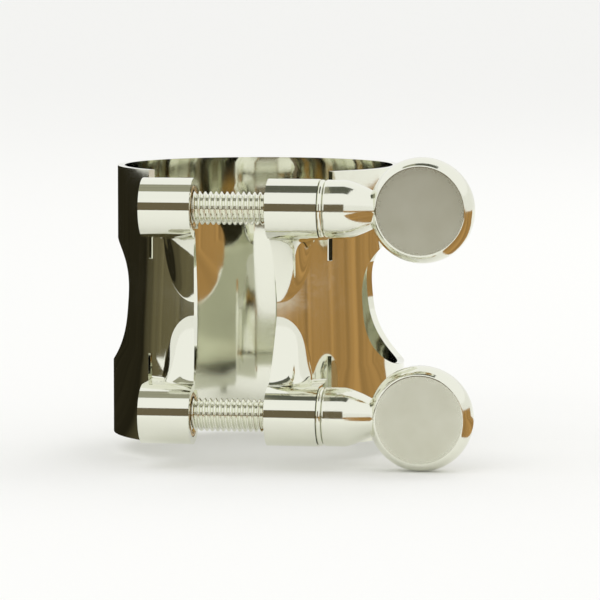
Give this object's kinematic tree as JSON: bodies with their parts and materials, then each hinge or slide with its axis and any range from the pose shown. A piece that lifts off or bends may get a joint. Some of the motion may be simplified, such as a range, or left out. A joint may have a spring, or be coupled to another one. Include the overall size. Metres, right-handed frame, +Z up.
{
  "type": "clarinet ligature",
  "caption": "Sprung metal band with side windows and rolled ears that clamps a reed to a clarinet mouthpiece, drawn closed by coin-headed thumbscrews across its front gap.",
  "frame": {"origin": "on the bore axis, in the plane of the band's bottom edge", "axes": "+Z up along the bore, -Y to the front with the gap and the screws, +X towards the screw heads"},
  "size_m": [0.0355, 0.0314, 0.0281],
  "materials": {
    "nickel_plate": "mirror polished nickel plate on brass sheet",
    "screw_nickel": "polished nickel plate on turned brass",
    "head_nickel": "nickel plate, satin faces and a polished rim",
    "brass": "turned, bare at the cut ends"
  },
  "bodies": {
    "band": {"band": "nickel_plate", "upper_tapped_bush": "brass", "lower_tapped_bush": "brass", "upper_plain_bush": "brass", "lower_plain_bush": "brass"},
    "upper_washer": {"upper_washer": "screw_nickel"},
    "upper_screw": {"upper_screw_shank": "screw_nickel", "upper_screw_head": "head_nickel"},
    "lower_washer": {"lower_washer": "screw_nickel"},
    "lower_screw": {"lower_screw_shank": "screw_nickel", "lower_screw_head": "head_nickel"}
  },
  "joints": [
    {"name": "upper_screw_advance", "type": "slide", "parent": "band", "child": "upper_washer", "axis": [1, 0, 0], "range_m": [0, 0.00313]},
    {"name": "upper_screw_turn", "type": "hinge", "parent": "upper_washer", "child": "upper_screw", "pos_m": [0.01255, -0.01478, 0.0217], "axis": [1, 0, 0], "range_deg": [0, 2250]},
    {"name": "lower_screw_advance", "type": "slide", "parent": "band", "child": "lower_washer", "axis": [1, 0, 0], "range_m": [0, 0.00313]},
    {"name": "lower_screw_turn", "type": "hinge", "parent": "lower_washer", "child": "lower_screw", "pos_m": [0.01255, -0.01524, 0.0031], "axis": [1, 0, 0], "range_deg": [0, 2250]}
  ],
  "couplings": [
    {"joint": "upper_screw_turn", "follows": "upper_screw_advance", "rad_per_m": 12566},
    {"joint": "lower_screw_turn", "follows": "lower_screw_advance", "rad_per_m": 12566}
  ]
}
